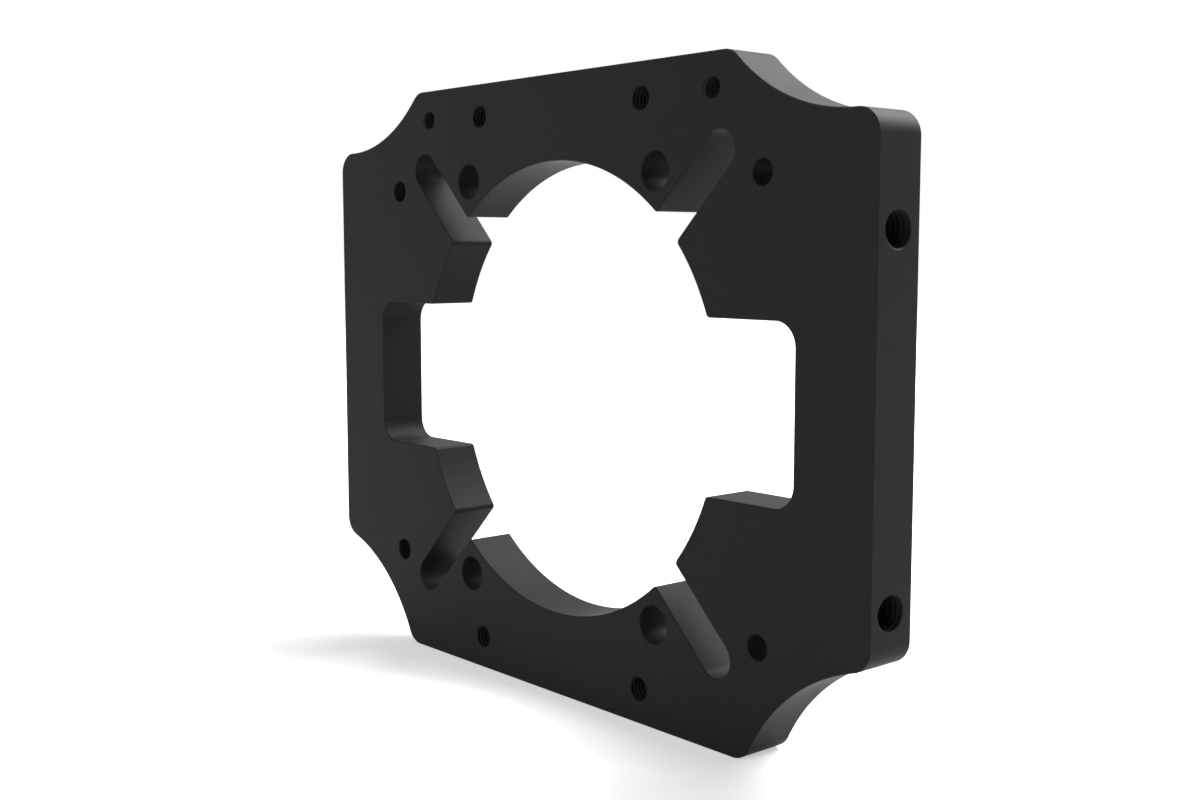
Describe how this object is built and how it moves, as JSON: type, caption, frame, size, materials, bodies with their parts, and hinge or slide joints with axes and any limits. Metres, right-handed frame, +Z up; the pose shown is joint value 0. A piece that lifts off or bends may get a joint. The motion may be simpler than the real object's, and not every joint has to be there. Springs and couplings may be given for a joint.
{
  "type": "front-mount bracket plate",
  "caption": "Upright flat mounting plate with a large bore, side notches, diagonal slots, scalloped corners and bolt holes for fixing a round-flanged device to a stand.",
  "frame": {"origin": "on the axis of the centre bore, halfway through the plate's thickness, which is also the centre of its box", "axes": "+X across the plate to the right as seen from the front, +Y through its thickness to the back, +Z up; the front face looks along -Y"},
  "size_m": [0.18, 0.012, 0.14],
  "materials": {
    "black_anodised": "satin black anodised aluminium"
  },
  "bodies": {
    "root": {"mounting_plate": "black_anodised"}
  },
  "joints": []
}
